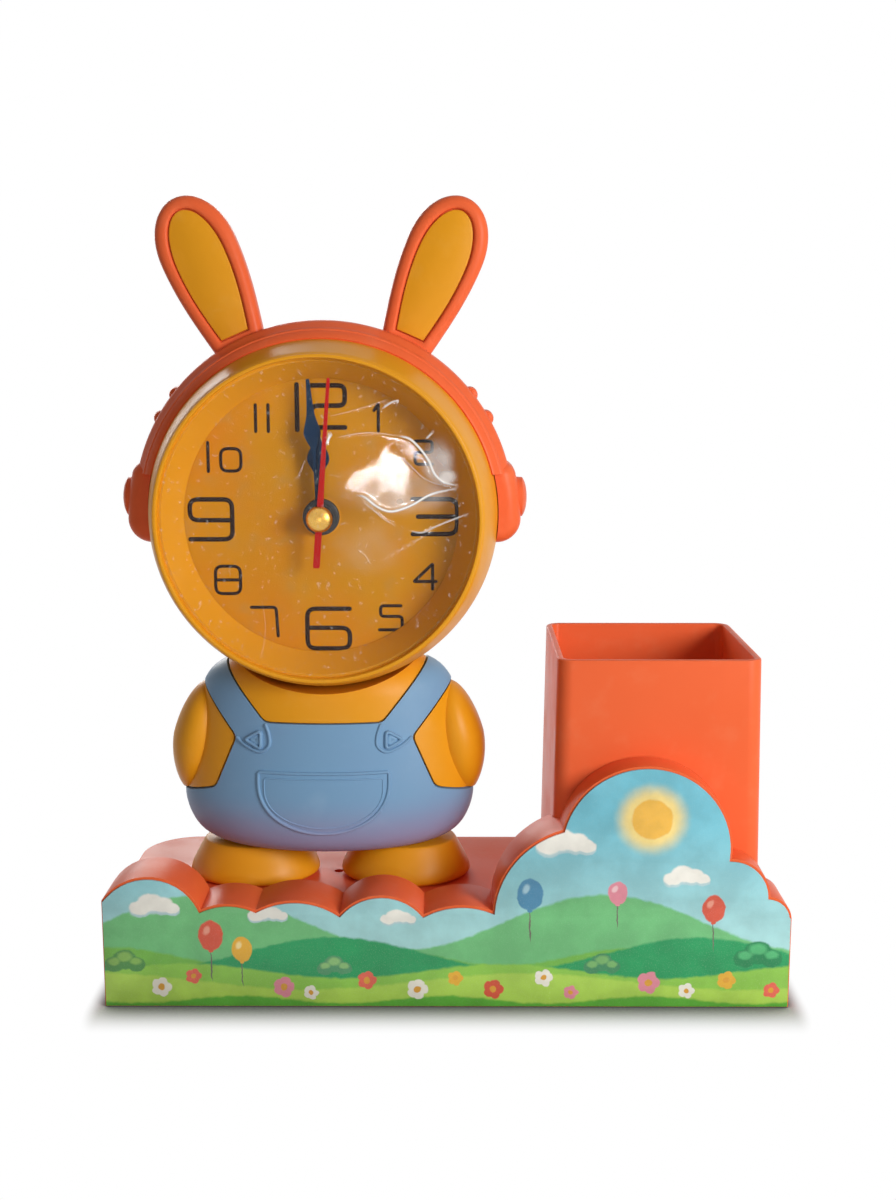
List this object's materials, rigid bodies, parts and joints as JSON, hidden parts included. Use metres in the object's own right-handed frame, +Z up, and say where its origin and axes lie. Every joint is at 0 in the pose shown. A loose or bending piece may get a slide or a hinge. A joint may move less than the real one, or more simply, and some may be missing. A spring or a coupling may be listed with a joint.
{
  "type": "table clock",
  "caption": "Table clock: a long-eared figure in dungarees holds the round dial, on a cloud-edged base beside an open square pen cup.",
  "frame": {"origin": "under the middle of the base: halfway along its width, halfway through its depth, on the surface it stands on", "axes": "+X to the viewer's right along the base, +Y away from the viewer, from the dial's face to its back, +Z up"},
  "size_m": [0.19, 0.0716, 0.2224],
  "materials": {
    "coral": "moulded plastic, satin",
    "yellow": "moulded plastic, satin with a faint pearl",
    "blue": "moulded plastic, satin",
    "dial_yellow": "painted plastic dial",
    "print": "glossy printed film on a stiff sheet",
    "clear": "clear plastic",
    "navy": "enamelled aluminium",
    "red": "enamelled aluminium",
    "brass": "polished",
    "dark": "black moulded plastic",
    "ivory": "natural nylon",
    "steel": "bright zinc-plated",
    "copper": "enamelled copper wire",
    "green": "coated board",
    "zinc": "plated spring steel"
  },
  "bodies": {
    "clock": {"base_shell": "coral", "base_plate": "coral", "pen_cup": "coral", "headband": "coral", "earcup_left": "coral", "earcup_right": "coral", "earcup_cap_left": "coral", "earcup_cap_right": "coral", "ear_left": "coral", "ear_right": "coral", "foot_left": "yellow", "foot_right": "yellow", "torso_front": "yellow", "torso_back": "yellow", "head_case": "yellow", "head_back_cover": "yellow", "ear_inlay_left": "yellow", "ear_inlay_right": "yellow", "dungarees_front": "blue", "dungarees_back": "blue", "dial": "dial_yellow", "front_print": "print", "lens": "clear", "lens_film": "clear", "dial_nut": "dark", "movement_case": "dark", "movement_cover": "dark", "battery": "dark", "base_screw_1": "steel", "base_screw_2": "steel", "base_screw_3": "steel", "base_screw_4": "steel", "head_screw_1": "steel", "head_screw_2": "steel", "head_screw_3": "steel", "buzzer": "steel", "coil": "copper", "circuit_board": "green", "stator": "zinc", "battery_contact_minus": "zinc", "battery_contact_plus": "zinc"},
    "seconds": {"second_wheel": "brass", "second_hand": "red", "hand_cap": "brass"},
    "rotor_shaft": {"rotor": "dark"},
    "fifth_shaft": {"fifth_wheel": "ivory"},
    "third_shaft": {"third_wheel": "brass"},
    "centre_shaft": {"centre_wheel": "brass"},
    "minutes": {"cannon_pinion": "steel", "minute_hand": "navy"},
    "motion_shaft": {"motion_wheel": "ivory"},
    "hours": {"hour_wheel": "ivory", "hour_hand": "navy"},
    "time_setter": {"time_set_knob": "dark"},
    "alarm_pointer": {"alarm_wheel": "ivory", "alarm_hand": "brass"},
    "alarm_setter": {"alarm_set_knob": "dark"},
    "alarm_slider": {"alarm_switch": "dark"},
    "door": {"battery_door": "yellow"}
  },
  "joints": [
    {"name": "second_spin", "type": "hinge", "parent": "clock", "child": "seconds", "pos_m": [-0.035, 0.00625, 0.1343], "axis": [0, 1, 0], "continuous": true},
    {"name": "rotor_spin", "type": "hinge", "parent": "clock", "child": "rotor_shaft", "pos_m": [-0.02637, 0.00625, 0.15314], "axis": [0, 1, 0], "continuous": true},
    {"name": "fifth_spin", "type": "hinge", "parent": "clock", "child": "fifth_shaft", "pos_m": [-0.03117, 0.00625, 0.14483], "axis": [0, 1, 0], "continuous": true},
    {"name": "third_spin", "type": "hinge", "parent": "clock", "child": "third_shaft", "pos_m": [-0.02424, 0.00625, 0.13524], "axis": [0, 1, 0], "continuous": true},
    {"name": "centre_spin", "type": "hinge", "parent": "clock", "child": "centre_shaft", "pos_m": [-0.035, 0.00625, 0.1343], "axis": [0, 1, 0], "continuous": true},
    {"name": "minute_spin", "type": "hinge", "parent": "clock", "child": "minutes", "pos_m": [-0.035, 0.00625, 0.1343], "axis": [0, 1, 0], "continuous": true},
    {"name": "motion_spin", "type": "hinge", "parent": "clock", "child": "motion_shaft", "pos_m": [-0.04297, 0.00625, 0.135], "axis": [0, 1, 0], "continuous": true},
    {"name": "hour_spin", "type": "hinge", "parent": "clock", "child": "hours", "pos_m": [-0.035, 0.00625, 0.1343], "axis": [0, 1, 0], "continuous": true},
    {"name": "time_knob_spin", "type": "hinge", "parent": "clock", "child": "time_setter", "pos_m": [-0.05094, 0.00625, 0.13569], "axis": [0, 1, 0], "continuous": true},
    {"name": "alarm_spin", "type": "hinge", "parent": "clock", "child": "alarm_pointer", "pos_m": [-0.035, 0.00625, 0.1343], "axis": [0, 1, 0], "continuous": true},
    {"name": "alarm_knob_spin", "type": "hinge", "parent": "clock", "child": "alarm_setter", "pos_m": [-0.04131, 0.00625, 0.14331], "axis": [0, 1, 0], "continuous": true},
    {"name": "alarm_switch_slide", "type": "slide", "parent": "clock", "child": "alarm_slider", "axis": [1, 0, 0], "range_m": [0, 0.004]},
    {"name": "battery_door_hinge", "type": "hinge", "parent": "clock", "child": "door", "pos_m": [-0.035, 0.01425, 0.1056], "axis": [-1, 0, 0], "range_deg": [0, 110]}
  ],
  "couplings": [
    {"joint": "rotor_spin", "follows": "second_spin", "ratio": 30},
    {"joint": "fifth_spin", "follows": "second_spin", "ratio": -6},
    {"joint": "third_spin", "follows": "second_spin", "ratio": -0.125},
    {"joint": "centre_spin", "follows": "second_spin", "ratio": 0.016667},
    {"joint": "motion_spin", "follows": "minute_spin", "ratio": -0.33333},
    {"joint": "hour_spin", "follows": "minute_spin", "ratio": 0.083333},
    {"joint": "time_knob_spin", "follows": "minute_spin", "ratio": 1},
    {"joint": "alarm_knob_spin", "follows": "alarm_spin", "ratio": -1.2}
  ]
}
